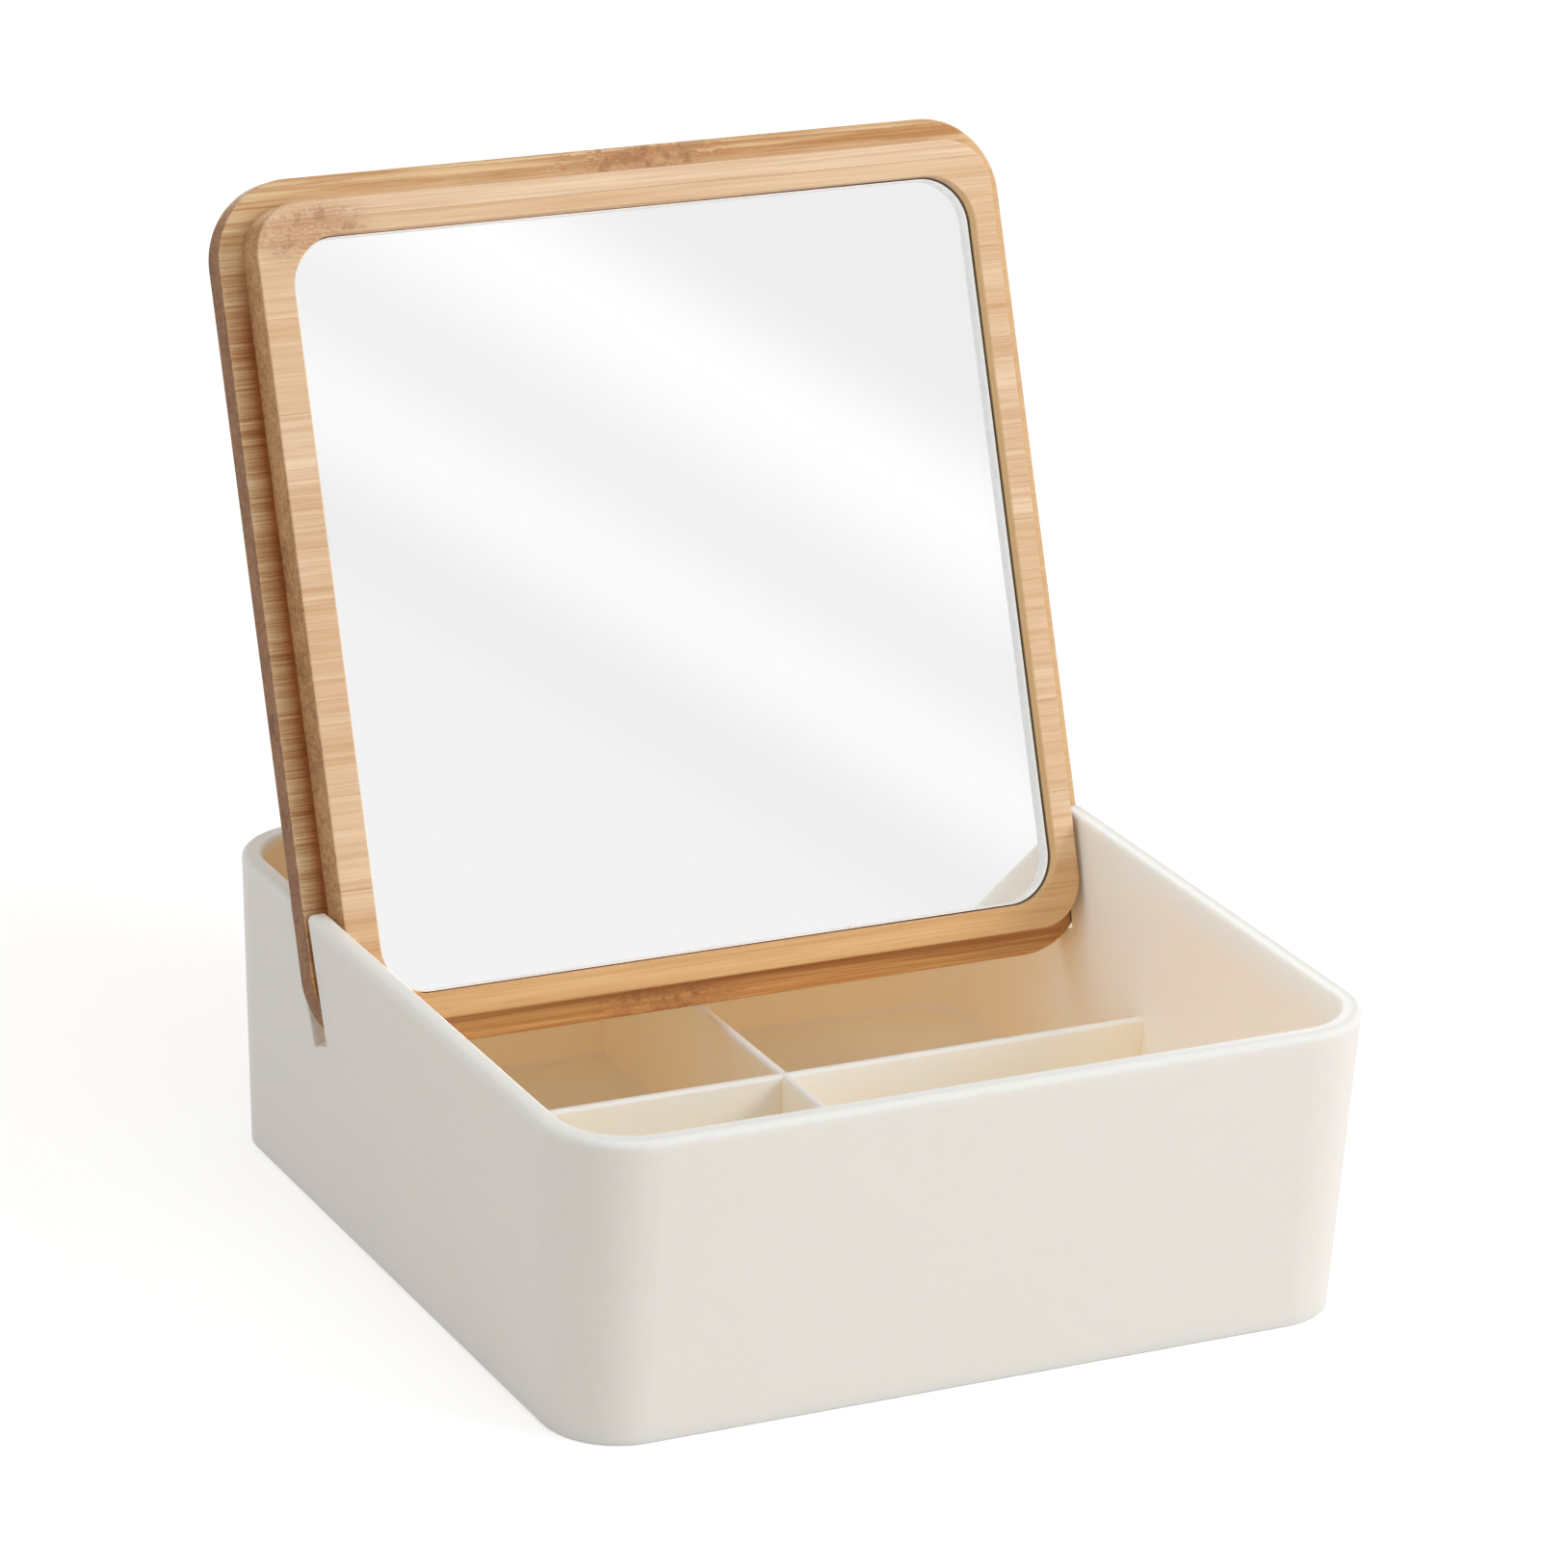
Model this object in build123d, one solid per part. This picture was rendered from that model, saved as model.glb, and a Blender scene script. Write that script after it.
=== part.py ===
from build123d import *

import os
from math import cos, radians, sin, sqrt, tan

# Vanity box: a moulded plastic tub with four compartments, and a bamboo lid with a mirror
# on its inner side. The lid stands in two slanted slots in the side walls, leaning back,
# and serves as a table mirror. Laid flat, it covers the tub. All sizes are in millimetres.
# The origin is the centre of the tub's footprint, +X to the right, +Y to the back, +Z up.

# Tub: square in plan, with walls that come in towards the base
TUB_WIDTH = 180.0  # across the rim, left to right
TUB_DEPTH = 180.0  # across the rim, front to back
TUB_HEIGHT = 65.0
TUB_CORNER = 18.5  # outer corner radius at the rim
DRAFT_ANGLE = 2.55  # degrees that each wall leans out
WALL = 4.2
FLOOR = 3.6
FLOOR_FILLET = 1.6  # inside, where the floor meets the walls and the dividers
RIM_OUTER_ROUND = 1.3
RIM_INNER_ROUND = 0.8
BASE_CHAMFER = 0.5
FOOT_RING_WIDTH = 6.0  # ring that the tub stands on, around a shallow recess
FOOT_RECESS = 0.8

# Dividers: two low ribs moulded with the tub, crossing in its middle
DIVIDER_HEIGHT = 28.5  # above the floor
DIVIDER_THICKNESS = 2.2  # at the top
DIVIDER_DRAFT = 0.6  # degrees, each side
DIVIDER_TOP_ROUND = 0.8

# Slots in both side walls, open at the rim, that the lid's plate stands in. Their rear faces
# lean as far as the lid does, so that its back lies on them.
SLOT_FRONT_Y = 40.4  # where the slot's front face meets the plane of the rim
SLOT_MOUTH = 9.15  # front to back in the plane of the rim
SLOT_FRONT_TILT = 18.0  # degrees back from upright
SLOT_DEPTH = 29.3  # from the rim, along the slot's rear face at the wall's inner side
SLOT_FALL = 17.0  # degrees that the slot's bottom falls towards the wall's outer side
SLOT_EDGE_ROUND = 0.3

# Lid: a plate as wide and deep as the tub's rim, and a thicker board on its inner side that
# fits into the tub's mouth when the lid is laid on as a cover
PLATE_CORNER = 17.0
PLATE_THICKNESS = 6.0
PLATE_EDGE_ROUND = 0.6
BOARD_CLEARANCE = 1.3  # to the tub's inner walls at the rim, as a cover
BOARD_CORNER = 10.5
BOARD_THICKNESS = 8.0
BOARD_EDGE_ROUND = 0.5

# Mirror: glass glued into a pocket milled in the board
FRAME_SIDE = 6.3  # the board's wood left and right of the pocket, on average
FRAME_END = 6.5  # and above and below it
POCKET_CORNER = 10.7
POCKET_DEPTH = 6.0
POCKET_EDGE_CHAMFER = 0.3
POCKET_SHIFT_X = 1.1  # the pocket lies a little right of and below the board's middle
POCKET_SHIFT_Y = -0.9
GLASS_SIDE_GAP = 0.5  # between the glass and the pocket's walls left and right, on average
GLASS_END_GAP = 0.3  # and above and below it
GLASS_SHIFT_X = -0.2  # the glass lies towards the pocket's left wall
GLASS_THICKNESS = 3.0
GLASS_ARRIS = 0.3  # the sharp front edge, ground off

# Tape: strips of double-sided foam between the glass and the pocket's floor
TAPE_COUNT = 4
TAPE_THICKNESS = 1.0
TAPE_WIDTH = 19.0
TAPE_END_MARGIN = 16.0  # from the glass's edge to the strip's ends
TAPE_SIDE_MARGIN = 14.0  # from the glass's edge to the outer strips

# How the lid stands in its slots
LEAN_ANGLE = 21.5  # degrees back from upright
LEAN_CLEARANCE = 0.3  # from the plate's back to the slots' rear faces
FOOT_CLEARANCE = 0.15  # from the plate's lower corners to the bottom of the slots

TOUCHING = 0.001  # two shapes that lie this close count as touching

# Worked out from the sizes above: the lid's widths are across, its lengths are front to back
# on the closed box, and up the slope where it stands as a mirror
board_inset = WALL + BOARD_CLEARANCE
board_width, board_length = TUB_WIDTH - 2 * board_inset, TUB_DEPTH - 2 * board_inset
pocket_width, pocket_length = board_width - 2 * FRAME_SIDE, board_length - 2 * FRAME_END
glass_width, glass_length = pocket_width - 2 * GLASS_SIDE_GAP, pocket_length - 2 * GLASS_END_GAP
lean, front_tilt = radians(LEAN_ANGLE), radians(SLOT_FRONT_TILT)
lid_up = Vector(0, sin(lean), cos(lean))
lid_front = Vector(0, -cos(lean), sin(lean))
slot_front_top = Vector(0, SLOT_FRONT_Y, TUB_HEIGHT)
slot_rear_top = slot_front_top + Vector(0, SLOT_MOUTH, 0)
slot_rear_bottom = slot_rear_top - lid_up * SLOT_DEPTH


def wall_inset(z):
    """How far the tub's walls have come in at height z, from where they are at the rim."""
    return (TUB_HEIGHT - z) * tan(radians(DRAFT_ANGLE))


def rounded_prism(width, length, corner, height):
    """Upright prism of a rounded rectangle, standing on the XY plane."""
    return extrude(RectangleRounded(width, length, corner), height)


def tub_block(inset, base_z):
    """The tub's outline, brought in by inset, as a solid with leaning sides from base_z up."""
    block = extrude(
        RectangleRounded(TUB_WIDTH - 2 * inset, TUB_DEPTH - 2 * inset, TUB_CORNER - inset),
        base_z - TUB_HEIGHT,
    )
    sides = block.faces() - block.faces().filter_by(Axis.Z)
    return Pos(0, 0, TUB_HEIGHT) * draft(sides, Plane.XY, -DRAFT_ANGLE)


def side_wall_inside(z):
    """Distance from the middle to the inner face of a side wall at height z."""
    return TUB_WIDTH / 2 - wall_inset(z) - WALL


def divider(length):
    """A rib along X: tapered towards a rounded top, standing in the floor."""
    root = FLOOR / 2
    height = FLOOR + DIVIDER_HEIGHT - root
    half_top = DIVIDER_THICKNESS / 2
    half_root = half_top + height * tan(radians(DIVIDER_DRAFT))
    outline = Polygon(
        (-half_root, 0), (half_root, 0), (half_top, height), (-half_top, height), align=None
    )
    outline = fillet(outline.vertices().sort_by(Axis.Y)[-2:], DIVIDER_TOP_ROUND)
    return Pos(0, 0, root) * extrude(Plane.YZ * outline, length / 2, both=True)


def slot_cutter(side):
    """The space of one slot; side is -1 for the left wall and 1 for the right wall."""
    front_up = Vector(0, sin(front_tilt), cos(front_tilt))
    corners = [
        slot_rear_bottom - lid_up * WALL,
        slot_front_top - front_up * (SLOT_DEPTH + WALL),
        slot_front_top + front_up * WALL,
        slot_rear_top + lid_up * WALL,
    ]
    outline = Plane.YZ * Polygon(*[(corner.Y, corner.Z) for corner in corners], align=None)
    inner_edge = slot_rear_bottom + Vector(side * side_wall_inside(slot_rear_bottom.Z), 0, 0)
    fall = radians(SLOT_FALL)
    bottom_faces = lid_up * cos(fall) + Vector(side * sin(fall), 0, 0)
    bottom = Plane(origin=inner_edge, x_dir=lid_front, z_dir=bottom_faces)
    middle = side * (TUB_WIDTH / 2 - wall_inset(0) / 2 - WALL / 2)
    space = Pos(middle, 0, 0) * extrude(outline, wall_inset(0) / 2 + WALL, both=True)
    return split(space, bisect_by=bottom, keep=Keep.TOP)


def slot_edges(tub, cutter):
    """The edges where the faces of a slot meet the faces of the wall that it is cut in."""
    slot_faces = tub.faces().filter_by(lambda face: cutter.distance_to(face.center()) < TOUCHING)
    edges = [edge for face in slot_faces for edge in face.edges()]
    return [edge for edge in edges if sum(edge.is_same(other) for other in edges) == 1]


def make_tub():
    """Outer shell, compartments, slots and foot ring, in one moulding."""
    outer = tub_block(0, 0)
    outer = chamfer(outer.faces().sort_by(Axis.Z)[0].edges(), BASE_CHAMFER)
    tub = outer - tub_block(WALL, FLOOR)
    divider_inset = 2 * wall_inset(FLOOR) + WALL
    tub += divider(TUB_WIDTH - divider_inset)
    tub += Rot(0, 0, 90) * divider(TUB_DEPTH - divider_inset)
    floor_faces = tub.faces().filter_by(Axis.Z).group_by(Axis.Z)[1]
    tub = fillet(floor_faces.edges(), FLOOR_FILLET)
    rim = tub.faces().filter_by(Axis.Z).sort_by(Axis.Z)[-1]
    tub = fillet(rim.outer_wire().edges(), RIM_OUTER_ROUND)
    rim = tub.faces().filter_by(Axis.Z).sort_by(Axis.Z)[-1]
    tub = fillet(rim.inner_wires().edges(), RIM_INNER_ROUND)
    for side in (-1, 1):
        cutter = slot_cutter(side)
        tub -= cutter
        tub = fillet(slot_edges(tub, cutter), SLOT_EDGE_ROUND)
    recess_inset = wall_inset(0) + FOOT_RING_WIDTH
    recess = rounded_prism(
        TUB_WIDTH - 2 * recess_inset,
        TUB_DEPTH - 2 * recess_inset,
        TUB_CORNER - recess_inset,
        FOOT_RECESS,
    )
    return tub - recess


def lid_origin():
    """Middle of the lid's lower edge on its back, as the lid stands in the slots."""
    # The rounded lower corners rest on the slots' inner edges, this far above the lower edge
    inner_edge = side_wall_inside(slot_rear_bottom.Z)
    beyond_straight = max(0, inner_edge - (TUB_WIDTH / 2 - PLATE_CORNER))
    corner_rise = PLATE_CORNER - sqrt(PLATE_CORNER**2 - beyond_straight**2)
    return slot_rear_bottom + lid_front * LEAN_CLEARANCE + lid_up * (FOOT_CLEARANCE - corner_rise)


def on_lid(distance, shift_x=0.0, shift_y=0.0):
    """A plane parallel to the lid, distance in front of its back, at the lid's middle."""
    middle = lid_origin() + lid_up * (TUB_DEPTH / 2 + shift_y) + lid_front * distance
    return Plane(origin=middle + Vector(shift_x, 0, 0), x_dir=(1, 0, 0), z_dir=lid_front)


def make_lid_plate():
    """The outer board, as wide as the tub, with eased edges."""
    plate = rounded_prism(TUB_WIDTH, TUB_DEPTH, PLATE_CORNER, PLATE_THICKNESS)
    plate = fillet(plate.faces().filter_by(Axis.Z).edges(), PLATE_EDGE_ROUND)
    return on_lid(0) * plate


def make_mirror_board():
    """The inner board, with eased front edges and the mirror's pocket milled in its front."""
    board = rounded_prism(board_width, board_length, BOARD_CORNER, BOARD_THICKNESS)
    pocket = rounded_prism(pocket_width, pocket_length, POCKET_CORNER, POCKET_DEPTH)
    board -= Pos(POCKET_SHIFT_X, POCKET_SHIFT_Y, BOARD_THICKNESS - POCKET_DEPTH) * pocket
    front = board.faces().filter_by(Axis.Z).sort_by(Axis.Z)[-1]
    board = fillet(front.outer_wire().edges(), BOARD_EDGE_ROUND)
    front = board.faces().filter_by(Axis.Z).sort_by(Axis.Z)[-1]
    board = chamfer(front.inner_wires().edges(), POCKET_EDGE_CHAMFER)
    return on_lid(PLATE_THICKNESS) * board


def pocket_floor(distance=0.0):
    """A plane parallel to the lid, distance in front of the pocket's floor, behind the middle
    of the glass."""
    depth = PLATE_THICKNESS + BOARD_THICKNESS - POCKET_DEPTH + distance
    return on_lid(depth, POCKET_SHIFT_X + GLASS_SHIFT_X, POCKET_SHIFT_Y)


def make_mirror_glass():
    """The mirror: a sheet of glass with rounded corners and eased front edges."""
    glass_corner = POCKET_CORNER - GLASS_END_GAP
    glass = rounded_prism(glass_width, glass_length, glass_corner, GLASS_THICKNESS)
    front = glass.faces().sort_by(Axis.Z)[-1]
    glass = chamfer(front.edges(), GLASS_ARRIS)
    return pocket_floor(TAPE_THICKNESS) * glass


def make_mirror_tape():
    """Upright strips of foam tape, evenly spaced behind the glass."""
    span = glass_width - 2 * TAPE_SIDE_MARGIN - TAPE_WIDTH
    length = glass_length - 2 * TAPE_END_MARGIN
    strip = Box(TAPE_WIDTH, length, TAPE_THICKNESS, align=(Align.CENTER, Align.CENTER, Align.MIN))
    row = GridLocations(span / (TAPE_COUNT - 1), 0, TAPE_COUNT, 1)
    return pocket_floor() * Compound([place * strip for place in row])


os.makedirs("parts", exist_ok=True)
parts = {
    "tub": make_tub(),
    "lid_plate": make_lid_plate(),
    "mirror_board": make_mirror_board(),
    "mirror_glass": make_mirror_glass(),
    "mirror_tape": make_mirror_tape(),
}
for name, part in parts.items():
    export_step(part, f"parts/{name}.step")
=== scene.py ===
from math import cos, pi, radians, sin, tan

import bpy
from bpy.props import FloatProperty, FloatVectorProperty, IntProperty, PointerProperty
from mathutils import Matrix, Vector


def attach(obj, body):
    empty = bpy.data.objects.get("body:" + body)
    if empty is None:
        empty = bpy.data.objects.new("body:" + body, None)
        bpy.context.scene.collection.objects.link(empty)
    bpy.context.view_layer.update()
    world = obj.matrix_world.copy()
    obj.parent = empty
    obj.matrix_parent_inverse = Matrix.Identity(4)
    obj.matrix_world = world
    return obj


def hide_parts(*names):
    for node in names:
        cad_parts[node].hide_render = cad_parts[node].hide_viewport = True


bl_info = {
    "name": "Vanity Box with Mirror",
    "version": (1, 0, 0),
    "blender": (4, 5, 0),
    "location": "View3D > Sidebar > Vanity Box",
    "description": "Ivory moulded box whose bamboo lid stands up as a mirror",
    "category": "Object",
}

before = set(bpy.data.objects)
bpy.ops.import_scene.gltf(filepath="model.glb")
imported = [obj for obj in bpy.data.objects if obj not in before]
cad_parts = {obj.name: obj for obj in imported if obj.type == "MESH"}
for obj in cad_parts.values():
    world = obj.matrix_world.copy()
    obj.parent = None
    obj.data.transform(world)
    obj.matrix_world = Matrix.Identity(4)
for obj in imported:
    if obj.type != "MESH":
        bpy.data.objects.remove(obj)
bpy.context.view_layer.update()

MM = 0.001
LEAN = radians(21.5)  # of the standing lid, back from upright
LID_UP = Vector((0, sin(LEAN), cos(LEAN)))
LID_FRONT = Vector((0, -cos(LEAN), sin(LEAN)))
LID_FOOT = Vector((0, 36.94, 33.75)) * MM  # middle of the lid's lower edge, on its back
LID_SIDE = 180 * MM
BOARD_SIDE = 169 * MM
GLASS_SIDE = 155.4 * MM
PLATE_THICKNESS = 6 * MM
BOARD_THICKNESS = 8 * MM
GLASS_THICKNESS = 3 * MM
TAPE_THICKNESS = 1 * MM
TUB_HEIGHT = 65 * MM
TUB_CORNER = 18.5 * MM  # outer corner radius at the rim
TUB_STRAIGHT = 71.5 * MM  # from the middle to where the corner's curve starts, at the rim
TUB_DRAFT = tan(radians(2.55))  # by which the walls lean out
SEAM = 0.02 * MM  # by which faces that touch are kept apart, so that one of them is seen
WELD = 1e-6  # vertices closer than this are one
SHARP = radians(35)  # edges that turn by more than this stay crisp
CORNER_STEPS = 28  # straight runs round each corner of a slab
ROUND_STEPS = 5  # faces across a rounded edge, where a bevel has one
PLATE_BORDER = 3 * MM  # strip round a flat face that keeps the shading of its edge off it
INNER_BORDER = 2 * MM  # the same on the inner board and the glass

# Node kinds and settings that are used often
MATH = "ShaderNodeMath"
MIX = "ShaderNodeMix"
NOISE = "ShaderNodeTexNoise"
OCCLUSION = "ShaderNodeAmbientOcclusion"
RANGE = "ShaderNodeMapRange"
VECTOR_MATH = "ShaderNodeVectorMath"
PRINCIPLED = "ShaderNodeBsdfPrincipled"
SMOOTH = "SMOOTHSTEP"
OCCLUSION_RAYS = 8  # that look for walls round a point


def linear(hex_colour):
    """An sRGB colour such as "E6E1DA", as the linear RGBA that a shader takes."""
    parts = [int(hex_colour[i : i + 2], 16) / 255 for i in (0, 2, 4)]
    return [p / 12.92 if p <= 0.04045 else ((p + 0.055) / 1.055) ** 2.4 for p in parts] + [1.0]


def add(tree, kind, inputs=None, **settings):
    """Adds a node with its settings. An input is found by its name or number, and takes a value,
    a socket, or a node, which stands for its first output in use."""
    made = tree.nodes.new(kind)
    for name, value in settings.items():
        setattr(made, name, value)
    for key, value in (inputs or {}).items():
        if isinstance(key, int):
            socket = made.inputs[key]
        else:
            socket = next(s for s in made.inputs if s.name == key and s.enabled)
        if isinstance(value, bpy.types.Node):
            value = next(s for s in value.outputs if s.enabled)
        for one in value if isinstance(value, list) and socket.is_multi_input else [value]:
            if isinstance(one, bpy.types.Node):
                one = next(s for s in one.outputs if s.enabled)
            if isinstance(one, bpy.types.NodeSocket):
                tree.links.new(one, socket)
            else:
                socket.default_value = one
    return made


# Sizes and finishes that a user would change


class VanityLidSizes(bpy.types.PropertyGroup):
    plate_corner: FloatProperty(
        name="Plate corner", description="Corner radius of the outer board",
        default=17 * MM, unit="LENGTH"
    )
    plate_edge: FloatProperty(
        name="Plate edge", description="Rounding of the outer board's edges",
        default=0.6 * MM, unit="LENGTH"
    )
    board_corner: FloatProperty(
        name="Board corner", description="Corner radius of the inner board",
        default=10.5 * MM, unit="LENGTH"
    )
    board_edge: FloatProperty(
        name="Board edge", description="Rounding of the inner board's front edge",
        default=0.5 * MM, unit="LENGTH"
    )
    pocket_width: FloatProperty(
        name="Pocket width", description="Pocket for the mirror, side to side",
        default=156.4 * MM, unit="LENGTH"
    )
    pocket_length: FloatProperty(
        name="Pocket length", description="Pocket for the mirror, bottom to top",
        default=156 * MM, unit="LENGTH"
    )
    pocket_side: FloatProperty(
        name="Pocket sideways", description="How far the pocket lies right of the board's middle",
        default=1.1 * MM, unit="LENGTH"
    )
    pocket_down: FloatProperty(
        name="Pocket down", description="How far the pocket lies below the board's middle",
        default=0.9 * MM, unit="LENGTH"
    )
    pocket_corner: FloatProperty(
        name="Pocket corner", description="Corner radius of the pocket",
        default=10.7 * MM, unit="LENGTH"
    )
    pocket_depth: FloatProperty(
        name="Pocket depth", description="Depth of the pocket in the inner board",
        default=6 * MM, unit="LENGTH"
    )
    pocket_chamfer: FloatProperty(
        name="Pocket chamfer", description="Chamfer round the pocket's mouth",
        default=0.3 * MM, unit="LENGTH"
    )
    glass_corner: FloatProperty(
        name="Glass corner", description="Corner radius of the mirror glass",
        default=10.4 * MM, unit="LENGTH"
    )
    glass_arris: FloatProperty(
        name="Glass arris", description="Front edge of the glass, ground off",
        default=0.3 * MM, unit="LENGTH"
    )
    glass_left: FloatProperty(
        name="Glass sideways", description="How far the glass lies left of the pocket's middle",
        default=0.2 * MM, unit="LENGTH"
    )
    tape_count: IntProperty(
        name="Tape strips", description="Strips of foam tape behind the glass",
        default=4, min=2
    )
    tape_width: FloatProperty(
        name="Tape width", description="Width of a strip of foam tape",
        default=19 * MM, unit="LENGTH"
    )
    tape_end_margin: FloatProperty(
        name="Tape ends", description="From the glass's edge to the ends of the strips",
        default=16 * MM, unit="LENGTH"
    )
    tape_side_margin: FloatProperty(
        name="Tape sides", description="From the glass's edge to the outer strips",
        default=14 * MM, unit="LENGTH"
    )


class VanityFinishes(bpy.types.PropertyGroup):
    plastic: FloatVectorProperty(
        name="Plastic", description="Colour of the moulded box",
        subtype="COLOR", size=4, default=linear("EEEAE4")
    )
    board_light: FloatVectorProperty(
        name="Light board", description="Colour between the inner board's fibres",
        subtype="COLOR", size=4, default=linear("F7DCBC")
    )
    board_dark: FloatVectorProperty(
        name="Dark board", description="Colour of the inner board's fibres",
        subtype="COLOR", size=4, default=linear("CFA074")
    )
    plate_light: FloatVectorProperty(
        name="Light plate", description="Colour between the outer board's fibres",
        subtype="COLOR", size=4, default=linear("EBCFA5")
    )
    plate_dark: FloatVectorProperty(
        name="Dark plate", description="Colour of the outer board's fibres",
        subtype="COLOR", size=4, default=linear("BC8852")
    )
    silver: FloatVectorProperty(
        name="Silvering", description="Tint of the mirror",
        subtype="COLOR", size=4, default=linear("F7F7F7")
    )


class VanityStage(bpy.types.PropertyGroup):
    sky: FloatProperty(
        name="Room light", description="Strength of the light from all round",
        default=0.5, min=0
    )
    key: FloatProperty(
        name="Key light", description="Power of the lamp on the right",
        default=18.0, unit="POWER"
    )
    top: FloatProperty(
        name="Top light", description="Power of the lamp above",
        default=4.0, unit="POWER"
    )
    front: FloatProperty(
        name="Front light", description="Power of the lamp in front",
        default=4.0, unit="POWER"
    )
    fill: FloatProperty(
        name="Fill light", description="Power of the lamp on the left",
        default=3.0, unit="POWER"
    )

# Geometry Nodes trees


def new_tree(name, inputs):
    """An empty Geometry Nodes tree with one mesh output and these inputs: name, kind, default."""
    tree = bpy.data.node_groups.new(name, "GeometryNodeTree")
    tree.interface.new_socket("Mesh", in_out="OUTPUT", socket_type="NodeSocketGeometry")
    for socket_name, kind, default in inputs:
        socket = tree.interface.new_socket(
            socket_name, in_out="INPUT", socket_type="NodeSocket" + kind)
        if default is not None:
            socket.default_value = default
    return tree


SLAB_INPUTS = [
    ("Width", "Float", 0.1),
    ("Length", "Float", 0.1),
    ("Thickness", "Float", 0.01),
    ("Corner Radius", "Float", 0.01),
    ("Corner Steps", "Int", CORNER_STEPS),
    ("Front Edge Width", "Float", 0.0),
    ("Front Edge Depth", "Float", 0.0),
    ("Back Edge Width", "Float", 0.0),
    ("Back Edge Depth", "Float", 0.0),
    ("Edge Steps", "Int", 1),
    ("Face Border", "Float", PLATE_BORDER),
]


def edge_section(tree, given):
    """The section of a slab's edge, as a curve that lies on the XY plane. Its points are the
    border of the front face, the front edge, the back edge, and the border of the back face."""
    steps = given["Edge Steps"]
    index = add(tree, "GeometryNodeInputIndex")
    # The front edge runs from point 1 to steps + 1, and the back edge from there + 1 to last - 1
    last = add(tree, MATH, {0: steps, 1: 2.0, 2: 3.0}, operation="MULTIPLY_ADD")
    count = add(tree, MATH, {0: last, 1: 1.0}, operation="ADD")
    front_end = add(tree, MATH, {0: steps, 1: 1.0}, operation="ADD")
    back_start = add(tree, MATH, {0: steps, 1: 2.0}, operation="ADD")
    back_end = add(tree, MATH, {0: last, 1: 1.0}, operation="SUBTRACT")
    front_turn = add(tree, RANGE, {
        "Value": index, "From Min": 1.0, "From Max": front_end, "To Max": pi / 2})
    back_turn = add(tree, RANGE, {
        "Value": index, "From Min": back_start, "From Max": back_end, "To Max": pi / 2})
    before_back = add(tree, MATH, {0: back_start, 1: 0.5}, operation="SUBTRACT")
    before_last = add(tree, MATH, {0: last, 1: 0.5}, operation="SUBTRACT")
    is_first = add(tree, MATH, {0: index, 1: 0.5}, operation="LESS_THAN")
    is_back = add(tree, MATH, {0: index, 1: before_back}, operation="GREATER_THAN")
    is_last = add(tree, MATH, {0: index, 1: before_last}, operation="GREATER_THAN")

    # How much of each edge's width and depth is gone at a point
    gone = {}
    for size, turn, wave in (
        ("Front Edge Width", front_turn, "SINE"),
        ("Front Edge Depth", front_turn, "COSINE"),
        ("Back Edge Width", back_turn, "COSINE"),
        ("Back Edge Depth", back_turn, "SINE"),
    ):
        share = add(tree, MATH, {0: turn}, operation=wave)
        share = add(tree, MATH, {0: 1.0, 1: share}, operation="SUBTRACT")
        gone[size] = add(tree, MATH, {0: given[size], 1: share}, operation="MULTIPLY")
    front_height = add(tree, MATH, {
        0: given["Thickness"], 1: gone["Front Edge Depth"]}, operation="SUBTRACT")
    height = add(tree, MIX, {
        "Factor": is_back, "A": front_height, "B": gone["Back Edge Depth"]})
    at_end = add(tree, MATH, {0: is_first, 1: is_last}, operation="ADD")
    border = add(tree, MATH, {0: at_end, 1: given["Face Border"]}, operation="MULTIPLY")
    inset = add(tree, MATH, {
        0: gone["Front Edge Width"], 1: gone["Back Edge Width"]}, operation="ADD")
    inset = add(tree, MATH, {0: inset, 1: border}, operation="ADD")
    place = add(tree, "ShaderNodeCombineXYZ", {
        "X": add(tree, MATH, {0: inset, 1: -1.0}, operation="MULTIPLY"),
        "Y": add(tree, MATH, {0: height, 1: -1.0}, operation="MULTIPLY")})
    line = add(tree, "GeometryNodeMeshLine", {"Count": count, "Offset": (0.001, 0, 0)})
    line = add(tree, "GeometryNodeSetPosition", {"Geometry": line, "Position": place})
    return add(tree, "GeometryNodeMeshToCurve", {"Mesh": line})


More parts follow.
